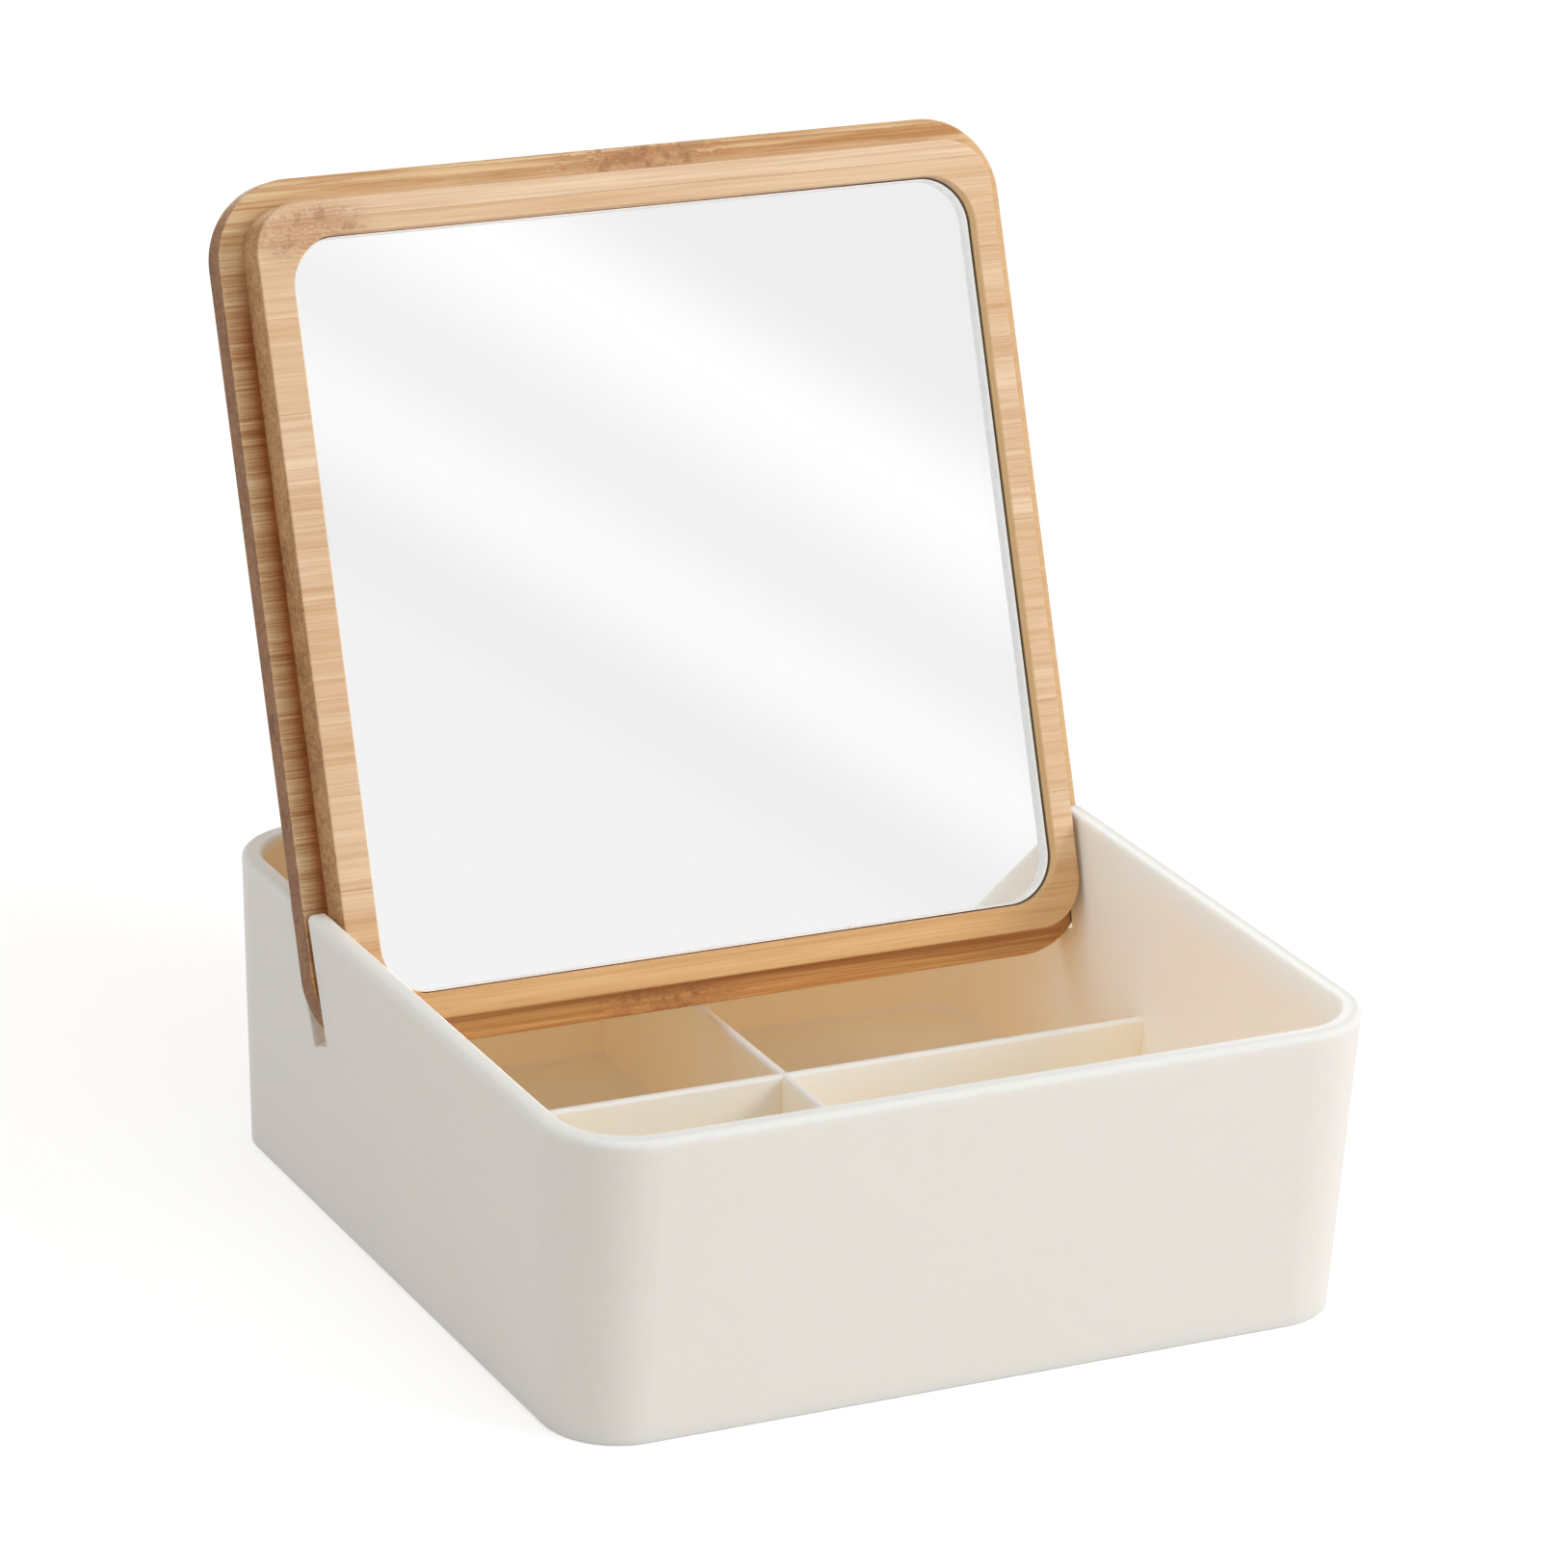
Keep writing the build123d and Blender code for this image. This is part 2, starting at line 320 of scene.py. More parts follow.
def slab_tree():
    """A slab on the XY plane, its front at the top. The section of its edge is swept round a
    rounded rectangle, and both faces are closed. One edge step makes a flat bevel, more a round."""
    tree = new_tree("Slab with worked edges", SLAB_INPUTS)
    given = add(tree, "NodeGroupInput").outputs
    outline = add(tree, "GeometryNodeCurvePrimitiveQuadrilateral", {
        "Width": given["Width"], "Height": given["Length"]}, mode="RECTANGLE")
    outline = add(tree, "GeometryNodeFilletCurve", {
        0: outline, 1: given["Corner Steps"], 2: given["Corner Radius"]}, mode="POLY")
    swept = add(tree, "GeometryNodeCurveToMesh", {
        "Curve": outline, "Profile Curve": edge_section(tree, given)})

    # The two open borders, each closed by a flat face
    faces_beside = add(tree, "GeometryNodeInputMeshEdgeNeighbors")
    on_border = add(tree, MATH, {0: faces_beside, 1: 1.0, 2: 0.1}, operation="COMPARE")
    position = add(tree, "GeometryNodeInputPosition")
    height = add(tree, "ShaderNodeSeparateXYZ", {0: position}).outputs["Z"]
    middle = add(tree, MATH, {0: given["Thickness"], 1: 0.5}, operation="MULTIPLY")
    above = add(tree, MATH, {0: height, 1: middle}, operation="GREATER_THAN")
    caps = []
    for is_front in (True, False):
        side = above if is_front else add(tree, MATH, {0: 1.0, 1: above}, operation="SUBTRACT")
        chosen = add(tree, MATH, {0: on_border, 1: side}, operation="MULTIPLY")
        rim = add(tree, "GeometryNodeMeshToCurve", {"Mesh": swept, "Selection": chosen})
        cap = add(tree, "GeometryNodeFillCurve", {"Curve": rim}, mode="NGONS")
        if is_front:
            lift = add(tree, "ShaderNodeCombineXYZ", {"Z": given["Thickness"]})
            cap = add(tree, "GeometryNodeTransform", {"Geometry": cap, "Translation": lift})
        else:
            cap = add(tree, "GeometryNodeFlipFaces", {"Mesh": cap})
        caps.append(cap)
    joined = add(tree, "GeometryNodeJoinGeometry", {"Geometry": [swept, *caps]})
    welded = add(tree, "GeometryNodeMergeByDistance", {"Geometry": joined, "Distance": WELD})
    add(tree, "NodeGroupOutput", {"Mesh": welded})
    return tree


PLACE_INPUTS = [
    ("Place", "Vector", None),  # of the middle of its back
    ("Turn", "Float", pi / 2),  # about X, from lying flat
    ("Finish", "Material", None),
]


def finish_tree(tree, given, mesh, finished=False):
    """The last nodes of a piece's tree: it is turned, put in place and, where that isn't done
    yet, given its material."""
    turn = add(tree, "ShaderNodeCombineXYZ", {"X": given["Turn"]})
    rotation = add(tree, "FunctionNodeEulerToRotation", {"Euler": turn})
    placed = add(tree, "GeometryNodeTransform", {
        "Geometry": mesh, "Translation": given["Place"], "Rotation": rotation})
    real = add(tree, "GeometryNodeRealizeInstances", {"Geometry": placed})
    if not finished:
        real = add(tree, "GeometryNodeSetMaterial", {
            "Geometry": real, "Material": given["Finish"]})
    add(tree, "NodeGroupOutput", {"Mesh": real})


def slab_group(tree, slab, given, changes=None):
    """The slab tree as a node of another tree. It takes that tree's inputs of the same names,
    apart from the changes."""
    group = add(tree, "GeometryNodeGroup", node_tree=slab)
    for name, _, default in SLAB_INPUTS:
        value = (changes or {}).get(name, given.get(name, default))
        if isinstance(value, (bpy.types.Node, bpy.types.NodeSocket)):
            tree.links.new(getattr(value, "outputs", [value])[0], group.inputs[name])
        else:
            group.inputs[name].default_value = value
    return group


def plate_tree(slab):
    """A plain slab in place."""
    tree = new_tree("Lid plate", SLAB_INPUTS + PLACE_INPUTS)
    given = add(tree, "NodeGroupInput").outputs
    finish_tree(tree, given, slab_group(tree, slab, given))
    return tree


POCKET_INPUTS = [
    ("Pocket Width", "Float", 0.08),
    ("Pocket Length", "Float", 0.08),
    ("Pocket Corner", "Float", 0.01),
    ("Pocket Depth", "Float", 0.005),
    ("Pocket Chamfer", "Float", 0.0003),
    ("Pocket Shift X", "Float", 0.0),
    ("Pocket Shift Y", "Float", 0.0),
]
OVER = 0.2 * MM  # how far the pocket's cutter stands out of the wood


def board_tree(slab):
    """A slab with a pocket milled in its front, whose mouth is chamfered."""
    tree = new_tree("Mirror board", SLAB_INPUTS + POCKET_INPUTS + PLACE_INPUTS)
    given = add(tree, "NodeGroupInput").outputs
    board = slab_group(tree, slab, given)
    flare = add(tree, MATH, {0: given["Pocket Chamfer"], 1: OVER}, operation="ADD")
    cutter = slab_group(tree, slab, given, {
        "Width": given["Pocket Width"],
        "Length": given["Pocket Length"],
        "Thickness": add(tree, MATH, {0: given["Pocket Depth"], 1: OVER}, operation="ADD"),
        "Corner Radius": given["Pocket Corner"],
        "Front Edge Width": add(tree, MATH, {0: flare, 1: -1.0}, operation="MULTIPLY"),
        "Front Edge Depth": flare,
        "Back Edge Width": 0.0,
        "Back Edge Depth": 0.0,
        "Edge Steps": 1,
    })
    bottom = add(tree, MATH, {
        0: given["Thickness"], 1: given["Pocket Depth"]}, operation="SUBTRACT")
    shift = add(tree, "ShaderNodeCombineXYZ", {
        "X": given["Pocket Shift X"], "Y": given["Pocket Shift Y"], "Z": bottom})
    cutter = add(tree, "GeometryNodeTransform", {"Geometry": cutter, "Translation": shift})
    milled = add(tree, "GeometryNodeMeshBoolean", {0: board, 1: cutter},
                 operation="DIFFERENCE", solver="EXACT")
    finish_tree(tree, given, milled)
    return tree


# The mirror's finishes. Each is laid over the one before, on faces that look up by less than this
MIRROR_FINISHES = (("Finish", 2.0), ("Edge Finish", 0.9), ("Back Finish", -0.5))


def mirror_tree(slab):
    """A slab of clear glass whose sides are ground and whose back is silvered."""
    tree = new_tree("Mirror glass", SLAB_INPUTS + PLACE_INPUTS + [
        ("Edge Finish", "Material", None), ("Back Finish", "Material", None)])
    given = add(tree, "NodeGroupInput").outputs
    glass = slab_group(tree, slab, given)
    normal = add(tree, "GeometryNodeInputNormal")
    facing = add(tree, "ShaderNodeSeparateXYZ", {0: normal}).outputs["Z"]
    for finish, most in MIRROR_FINISHES:
        chosen = add(tree, MATH, {0: facing, 1: most}, operation="LESS_THAN")
        glass = add(tree, "GeometryNodeSetMaterial", {
            "Geometry": glass, "Selection": chosen, "Material": given[finish]})
    finish_tree(tree, given, glass, finished=True)
    return tree


def tape_tree():
    """Upright strips, evenly spaced."""
    tree = new_tree("Foam tape strips", [
        ("Strips", "Int", 4), ("Span", "Float", 0.1), ("Strip Size", "Vector", None),
        *PLACE_INPUTS])
    given = add(tree, "NodeGroupInput").outputs
    strip = add(tree, "GeometryNodeMeshCube", {"Size": given["Strip Size"]})
    gaps = add(tree, MATH, {0: given["Strips"], 1: 1.0}, operation="SUBTRACT")
    pitch = add(tree, MATH, {0: given["Span"], 1: gaps}, operation="DIVIDE")
    start = add(tree, MATH, {0: given["Span"], 1: -0.5}, operation="MULTIPLY")
    row = add(tree, "GeometryNodeMeshLine", {
        "Count": given["Strips"],
        "Start Location": add(tree, "ShaderNodeCombineXYZ", {"X": start}),
        "Offset": add(tree, "ShaderNodeCombineXYZ", {"X": pitch})})
    strips = add(tree, "GeometryNodeInstanceOnPoints", {"Points": row, "Instance": strip})
    finish_tree(tree, given, strips)
    return tree


def make_piece(name, tree, values, body, node):
    """Runs a tree with these inputs, keeps the result as a plain mesh, and puts it on its body."""
    piece = bpy.data.objects.new(name, bpy.data.meshes.new(name))
    bpy.context.scene.collection.objects.link(piece)
    modifier = piece.modifiers.new("Shape", "NODES")
    modifier.node_group = tree
    sockets = {s.name: s.identifier for s in tree.interface.items_tree if s.in_out == "INPUT"}
    for key, value in values.items():
        modifier[sockets[key]] = value
    shaped = piece.evaluated_get(bpy.context.evaluated_depsgraph_get())
    mesh = bpy.data.meshes.new_from_object(shaped)
    piece.modifiers.clear()
    if not mesh.polygons:
        raise RuntimeError(name + " came out empty")
    mesh.name = name
    piece.data = mesh
    mesh.shade_smooth()
    mesh.set_sharp_from_angle(angle=SHARP)
    weighted = piece.modifiers.new("Flat faces stay flat", "WEIGHTED_NORMAL")
    weighted.keep_sharp = True
    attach(piece, body)
    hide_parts(node)


def square_slab(side, thickness, corner, border, front, back=0.0, steps=1):
    """The slab inputs of a square piece whose edges are worked off by front and back."""
    return {
        "Width": side, "Length": side, "Thickness": thickness,
        "Corner Radius": corner, "Corner Steps": CORNER_STEPS,
        "Front Edge Width": front, "Front Edge Depth": front,
        "Back Edge Width": back, "Back Edge Depth": back,
        "Edge Steps": steps, "Face Border": border,
    }


def stood_up(place, finish):
    """The place inputs of a piece of the standing lid."""
    return {"Place": place, "Turn": pi / 2 - LEAN, "Finish": finish}


def on_lid(depth, right=0.0, up=0.0):
    """The point that lies depth in front of the middle of the lid's back, moved right and up."""
    return LID_FOOT + LID_UP * (LID_SIDE / 2 + up) + LID_FRONT * depth + Vector((right, 0, 0))


def on_glass(sizes, height):
    """The point that lies height above the pocket's bottom, behind or in the mirror's middle."""
    bottom = PLATE_THICKNESS + BOARD_THICKNESS - sizes.pocket_depth
    return on_lid(bottom + height, sizes.pocket_side - sizes.glass_left, -sizes.pocket_down)


# Materials


def new_material(name):
    """A material with an empty tree, and the tree."""
    material = bpy.data.materials.new(name)
    material.use_nodes = True
    material.node_tree.nodes.clear()
    return material, material.node_tree


def lid_place(tree):
    """Coordinates on the lid in metres: across, up the slope from its lower edge, and forward."""
    turn = Matrix.Rotation(LEAN - pi / 2, 3, "X")
    return add(tree, "ShaderNodeMapping", {
        "Vector": add(tree, "ShaderNodeTexCoord").outputs["Object"],
        "Location": -(turn @ LID_FOOT),
        "Rotation": (LEAN - pi / 2, 0, 0)}, vector_type="POINT")


# Fibres of bamboo: length and pitch in mm and detail of the fine ones, the bundles and the broad
# changes of tone, and what each adds to the grain
FIBRES = ((26, 0.42, 2.0), (60, 1.3, 2.0), (110, 7.0, 1.0))
FINE_SHARE, BUNDLE_SHARE, BROAD_SHARE = 0.34, 0.40, 0.30
GRAIN_RANGE = 0.20  # from the middle of the grain to where it is all dark or all light
CURL_SIZE = 3.2 * MM  # of the waves in the fibres
STRAIGHT_CURL = 0.25 * MM  # how far those waves go between the knuckles
KNUCKLE_CURL = 5.0 * MM  # and at a knuckle
GLUE_LINE = 0.25  # mm, width of the line between two strips
STRIP_SHIFT = 0.37  # metres along the fibres from one strip's pattern to the next one's
PORE = 0.55 * MM  # size of the cut fibres in the end grain, coarse enough to show

# Stretches of the lid where its painted light and shade change from none to all: across it, or up
# from its foot
LEFT_MARGIN = (-76 * MM, -84 * MM)
LEFT_EDGE = (-89.5 * MM, -85.2 * MM)
RIGHT_MARGIN = (82 * MM, 85 * MM)
BELOW_CORNER = (170 * MM, 145 * MM)
FOOT = (32 * MM, 12 * MM)
OUTER_SIDES = (80 * MM, 82 * MM)  # between the pocket's walls and the boards' own sides
WIDE_GAP = (10 * MM, 70 * MM)  # to the right of the middle the gap round the glass widens
STEP_REACH = 6 * MM  # how far from the step between the boards the painted shade reaches
GAP_REACH = 10 * MM  # how deep the gap round the glass is looked for


def near_knuckles(tree, place, knuckles):
    """1 at the knuckles of the cane, and 0 from their reach on. Each is given in mm: its place
    across and up, and its reach both ways."""
    nearest = None
    for across, up, reach_across, reach_up in knuckles:
        scaled = add(tree, "ShaderNodeMapping", {
            "Vector": place,
            "Location": (-across / reach_across, -up / reach_up, 0),
            "Scale": (1 / (reach_across * MM), 1 / (reach_up * MM), 0)})
        away = add(tree, VECTOR_MATH, {0: scaled}, operation="LENGTH").outputs["Value"]
        here = add(tree, RANGE, {"Value": away, "From Min": 1.0, "From Max": 0.25},
                   interpolation_type=SMOOTH)
        nearest = here if nearest is None else add(
            tree, MATH, {0: nearest, 1: here}, operation="MAXIMUM")
    return nearest


def glued_strips(tree, up, strip, first_joint, seed):
    """The strips that a board is glued up from: their numbers, their tones, and the joints."""
    count = add(tree, MATH, {0: up, 1: -first_joint * MM}, operation="ADD")
    count = add(tree, MATH, {0: count, 1: strip * MM}, operation="DIVIDE")
    number = add(tree, MATH, {0: count}, operation="FLOOR")
    within = add(tree, MATH, {0: count}, operation="FRACT")
    drawn = add(tree, MATH, {0: number, 1: seed}, operation="ADD")
    tone = add(tree, "ShaderNodeTexWhiteNoise", {"W": drawn}, noise_dimensions="1D")
    joint = add(tree, RANGE, {
        "Value": within, "From Min": 0.0, "From Max": GLUE_LINE / strip,
        "To Min": 1.0, "To Max": 0.0})
    return number, tone.outputs["Value"], joint


def fibres(tree, place):
    """The three layers of fibres: fine ones, bundles, and broad changes of tone."""
    layers = []
    for length, pitch, detail in FIBRES:
        stretched = add(tree, "ShaderNodeMapping", {
            "Vector": place,
            "Scale": (1 / (length * MM), 1 / (pitch * MM), 1 / (pitch * MM))})
        layers.append(add(tree, NOISE, {
            "Vector": stretched, "Scale": 1.0, "Detail": detail, "Roughness": 0.55}))
    return layers


def grain_of(tree, fine, bundle, broad, streaks):
    """The grain that the layers of fibres make together, and how light the wood is with it."""
    grain = add(tree, MATH, {0: broad, 1: BROAD_SHARE}, operation="MULTIPLY")
    grain = add(tree, MATH, {
        0: bundle, 1: BUNDLE_SHARE * streaks, 2: grain}, operation="MULTIPLY_ADD")
    grain = add(tree, MATH, {0: fine, 1: FINE_SHARE * streaks, 2: grain}, operation="MULTIPLY_ADD")
    middle = 0.5 * (FINE_SHARE * streaks + BUNDLE_SHARE * streaks + BROAD_SHARE)
    between = add(tree, RANGE, {
        "Value": grain, "From Min": middle - GRAIN_RANGE, "From Max": middle + GRAIN_RANGE,
    }, interpolation_type=SMOOTH)
    return grain, between


def reddened(tree, wood, knuckle, fine, waves):
    """The wood, redder and with dark spots at its knuckles."""
    redder = add(tree, RANGE, {
        "Value": fine, "From Min": 0.35, "From Max": 0.65, "To Min": 0.75, "To Max": 0.15})
    wood = add(tree, MIX, {
        "Factor": add(tree, MATH, {0: knuckle, 1: redder}, operation="MULTIPLY"),
        "A": wood, "B": linear("B98560"),
    }, data_type="RGBA")
    spots = add(tree, RANGE, {
        "Value": waves, "From Min": 0.50, "From Max": 0.40, "To Max": 0.45})
    return add(tree, MIX, {
        "Factor": add(tree, MATH, {0: spots, 1: knuckle}, operation="MULTIPLY"),
        "A": wood, "B": linear("8E5A36"),
    }, data_type="RGBA")


def painted_lid_shading(tree, wood, level, spot, fine, streaks):
    """The wood with painted light and shade: painted shade along the step between the boards, a
    painted shadow on the plate's left margin, painted light on its right margin and painted shade
    at the foot. level is 1 on faces that look forward, and spot holds the coordinates on the lid."""
    across, up, forward = (spot.outputs[axis] for axis in "XYZ")

    # Painted shade along the step between the two boards, broken up by the fibres
    step = add(tree, OCCLUSION, {"Distance": STEP_REACH}, samples=OCCLUSION_RAYS).outputs["AO"]
    step_grain_shade = add(tree, MATH, {0: step, 1: 0.25 * streaks}, operation="ADD")
    step_grain_shade = add(tree, MATH, {0: fine, 1: -0.5 * streaks, 2: step_grain_shade}, operation="MULTIPLY_ADD")
    painted_step_shade = add(tree, RANGE, {"Value": step_grain_shade, "From Min": 0.65, "From Max": 0.1})
    painted_step_shade = add(tree, MATH, {0: level, 1: painted_step_shade}, operation="MULTIPLY", use_clamp=True)
    wood = add(tree, MIX, {
        "Factor": painted_step_shade, "A": wood, "B": linear("BC8650"),
    }, data_type="RGBA", blend_type="MULTIPLY")

    # Painted shadow of the inner board on the plate's margin, on the left, below the corner, most
    # of all at its edge by the board
    ahead = add(tree, MATH, {0: level, 1: 0.0}, operation="MAXIMUM")
    on_plate = add(tree, MATH, {0: forward, 1: PLATE_THICKNESS + 1 * MM}, operation="LESS_THAN")
    margin = add(tree, MATH, {0: ahead, 1: on_plate}, operation="MULTIPLY")
    shade = add(tree, RANGE, {
        "Value": across, "From Min": LEFT_EDGE[0], "From Max": LEFT_EDGE[1],
        "To Min": 0.45, "To Max": 1.45}, clamp=False)
    shade = add(tree, MATH, {0: fine, 1: -0.9, 2: shade}, operation="MULTIPLY_ADD", use_clamp=True)
    on_left = add(tree, RANGE, {
        "Value": across, "From Min": LEFT_MARGIN[0], "From Max": LEFT_MARGIN[1]})
    below_corner = add(tree, RANGE, {
        "Value": up, "From Min": BELOW_CORNER[0], "From Max": BELOW_CORNER[1],
    }, interpolation_type=SMOOTH)
    beside = add(tree, MATH, {0: margin, 1: below_corner}, operation="MULTIPLY")
    shade = add(tree, MATH, {0: shade, 1: on_left}, operation="MULTIPLY")
    shade = add(tree, MATH, {0: shade, 1: beside}, operation="MULTIPLY")
    wood = add(tree, MIX, {
        "Factor": shade, "A": wood, "B": linear("BE8F5C"),
    }, data_type="RGBA", blend_type="MULTIPLY")

    # Painted light: on the right, where the key light falls from, the margin is painted paler
    on_right = add(tree, RANGE, {
        "Value": across, "From Min": RIGHT_MARGIN[0], "From Max": RIGHT_MARGIN[1],
        "To Max": 0.75})
    pale = add(tree, MATH, {0: margin, 1: on_right}, operation="MULTIPLY")
    wood = add(tree, MIX, {
        "Factor": pale, "A": wood, "B": linear("E6C090"),
    }, data_type="RGBA")

    # Painted shade and warm bounced light towards the foot, down in the box, most of all on the
    # plate's margin
    low = add(tree, RANGE, {
        "Value": up, "From Min": FOOT[0], "From Max": FOOT[1]}, interpolation_type=SMOOTH)
    in_front = add(tree, RANGE, {"Value": level, "From Min": -0.6, "From Max": -0.1})
    foot = add(tree, MATH, {0: low, 1: in_front}, operation="MULTIPLY")
    wood = add(tree, MIX, {
        "Factor": foot, "A": wood, "B": linear("F8E9C8"),
    }, data_type="RGBA", blend_type="MULTIPLY")
    foot_margin = add(tree, MATH, {0: foot, 1: margin}, operation="MULTIPLY")
    return add(tree, MIX, {
        "Factor": foot_margin, "A": wood, "B": linear("FFF3E2"),
    }, data_type="RGBA", blend_type="MULTIPLY")


def end_grain(tree, place, bundle, broad, ends):
    """The cut ends of the fibres, between two browns."""
    cells = add(tree, "ShaderNodeTexVoronoi", {"Vector": place, "Scale": 1 / PORE})
    speck = add(tree, MATH, {0: broad, 1: 0.6}, operation="MULTIPLY")
    speck = add(tree, MATH, {0: bundle, 1: 0.9, 2: speck}, operation="MULTIPLY_ADD")
    speck = add(tree, MATH, {0: cells, 1: 0.45, 2: speck}, operation="MULTIPLY_ADD")
    speck = add(tree, RANGE, {"Value": speck, "From Min": 0.62, "From Max": 1.18})
    dark, light = ends
    return add(tree, MIX, {
        "Factor": speck, "A": linear(dark), "B": linear(light),
    }, data_type="RGBA")


def shaded_gap(tree, wood, across):
    """The wood, with painted shade in the gap round the glass, on the right, where that
    gap is wider."""
    shut_in = add(tree, OCCLUSION, {"Distance": GAP_REACH}, samples=OCCLUSION_RAYS).outputs["AO"]
    in_gap = add(tree, RANGE, {
        "Value": shut_in, "From Min": 0.36, "From Max": 0.20, "To Max": 0.95})
    on_right = add(tree, RANGE, {
        "Value": across, "From Min": WIDE_GAP[0], "From Max": WIDE_GAP[1]})
    return add(tree, MIX, {
        "Factor": add(tree, MATH, {0: in_gap, 1: on_right}, operation="MULTIPLY"),
        "A": wood, "B": linear("1C130D"),
    }, data_type="RGBA")


def bamboo(name, light, dark, ends, strip, first_joint, knuckles, seed, streaks):
    """Caramelised bamboo, laminated side by side from strips, sanded and finished with oil. The eye
    gets long fine fibres across the lid, strips that differ a little in tone, and browner end
    grain, with painted light and shade laid over them."""
    material, tree = new_material(name)
    place = lid_place(tree)
    spot = add(tree, "ShaderNodeSeparateXYZ", {0: place})
    across = spot.outputs["X"]

    # The fibres are wavy, most of all round the knuckles, and are others in each strip
    knuckle = near_knuckles(tree, place, knuckles)
    waves = add(tree, NOISE, {
        "Vector": place, "Scale": 1 / CURL_SIZE, "Detail": 3.0, "Roughness": 0.6})
    centred = add(tree, MATH, {0: waves, 1: 0.5}, operation="SUBTRACT")
    bend = add(tree, RANGE, {"Value": knuckle, "To Min": STRAIGHT_CURL, "To Max": KNUCKLE_CURL})
    curl = add(tree, MATH, {0: centred, 1: bend}, operation="MULTIPLY")
    curl = add(tree, "ShaderNodeCombineXYZ", {"Y": curl, "Z": curl})
    curled = add(tree, VECTOR_MATH, {0: place, 1: curl}, operation="ADD")
    number, tone, joint = glued_strips(tree, spot.outputs["Y"], strip, first_joint, seed)
    shift = add(tree, MATH, {0: number, 1: STRIP_SHIFT}, operation="MULTIPLY")
    shift = add(tree, "ShaderNodeCombineXYZ", {"X": shift})
    shifted = add(tree, VECTOR_MATH, {0: curled, 1: shift}, operation="ADD")
    fine, bundle, broad = fibres(tree, shifted)
    grain, between = grain_of(tree, fine, bundle, broad, streaks)

    wood = add(tree, MIX, {
        "Factor": between, "A": dark, "B": light,
    }, data_type="RGBA")
    wood = add(tree, MIX, {
        "Factor": add(tree, RANGE, {"Value": tone, "To Min": 0.0, "To Max": 0.22}),
        "A": wood, "B": linear("DDAF7A"),
    }, data_type="RGBA")
    wood = add(tree, MIX, {
        "Factor": add(tree, MATH, {0: joint, 1: 0.6}, operation="MULTIPLY"),
        "A": wood, "B": linear("9A6A3E"),
    }, data_type="RGBA")

    wood = reddened(tree, wood, knuckle, fine, waves)
    normal = add(tree, "ShaderNodeTexCoord").outputs["Normal"]
    level = add(tree, VECTOR_MATH, {0: normal, 1: LID_FRONT}, operation="DOT_PRODUCT")
    wood = painted_lid_shading(tree, wood, level.outputs["Value"], spot, fine, streaks)

    # End grain, on the sides that cross the fibres. The pocket's wall is painted paler instead, for
    # the light the mirror throws on it
    sideways = add(tree, "ShaderNodeSeparateXYZ", {0: normal}).outputs["X"]
    crossing = add(tree, RANGE, {
        "Value": add(tree, MATH, {0: sideways}, operation="ABSOLUTE"),
        "From Min": 0.45, "From Max": 0.9}, interpolation_type=SMOOTH)
    outer = add(tree, RANGE, {
        "Value": add(tree, MATH, {0: across}, operation="ABSOLUTE"),
        "From Min": OUTER_SIDES[0], "From Max": OUTER_SIDES[1], "To Min": 0.05})
    inner = add(tree, MATH, {0: 1.0, 1: outer}, operation="SUBTRACT")
    pocket_wall = add(tree, MATH, {0: crossing, 1: inner}, operation="MULTIPLY")
    cut_ends = add(tree, MATH, {0: crossing, 1: outer}, operation="MULTIPLY")
    wood = add(tree, MIX, {
        "Factor": cut_ends, "A": wood, "B": end_grain(tree, place, bundle, broad, ends),
    }, data_type="RGBA")
    wood = add(tree, MIX, {
        "Factor": pocket_wall, "A": wood, "B": linear("FBD296"),
    }, data_type="RGBA")
    wood = shaded_gap(tree, wood, across)

    relief = add(tree, "ShaderNodeBump", {"Height": grain, "Strength": 0.35, "Distance": 0.06 * MM})
    satin = add(tree, RANGE, {
        "Value": fine, "From Min": 0.3, "From Max": 0.7, "To Min": 0.40, "To Max": 0.52})
    roughness = add(tree, MIX, {"Factor": cut_ends, "A": satin, "B": 0.8})
    surface = add(tree, PRINCIPLED, {
        "Base Color": wood, "Roughness": roughness, "Normal": relief, "IOR": 1.5})
    add(tree, "ShaderNodeOutputMaterial", {"Surface": surface})
    return material


SEEPING = 0.113  # painted glow, for the light that comes through the walls, as the inside shows it
SHADED_SEEPING = 0.4 * SEEPING  # on the left, away from the light
LIT_SEEPING = 1.9 * SEEPING  # on the right
TUB_SKIN = (1.0 * MM, 3.4 * MM)  # how far behind its outer face a wall starts and is all inside
RIM = (62.5 * MM, 64.5 * MM)  # the rim's rounding, from below
OPEN_REACH = 90 * MM  # how far round a point walls keep the light out
LIT_SIDE = (20 * MM, 85 * MM)  # to the right, from the plain to the lit side


def within_walls(tree, place, height):
    """1 where a point lies behind the outer face of the tub's walls, and 0 on that face. Seen
    from above that face is a rounded square, which grows with the height."""
    straight = add(tree, MATH, {
        0: height, 1: TUB_DRAFT, 2: TUB_STRAIGHT - TUB_DRAFT * TUB_HEIGHT,
    }, operation="MULTIPLY_ADD")
    flat = add(tree, VECTOR_MATH, {0: place, 1: (1, 1, 0)}, operation="MULTIPLY")
    folded = add(tree, VECTOR_MATH, {0: flat}, operation="ABSOLUTE")
    beyond = add(tree, VECTOR_MATH, {0: folded, 1: straight}, operation="SUBTRACT")
    beyond = add(tree, VECTOR_MATH, {0: beyond, 1: (0, 0, 0)}, operation="MAXIMUM")
    reach = add(tree, VECTOR_MATH, {0: beyond}, operation="LENGTH").outputs["Value"]
    return add(tree, RANGE, {
        "Value": reach, "From Min": TUB_CORNER - TUB_SKIN[0],
        "From Max": TUB_CORNER - TUB_SKIN[1],
    }, interpolation_type=SMOOTH)


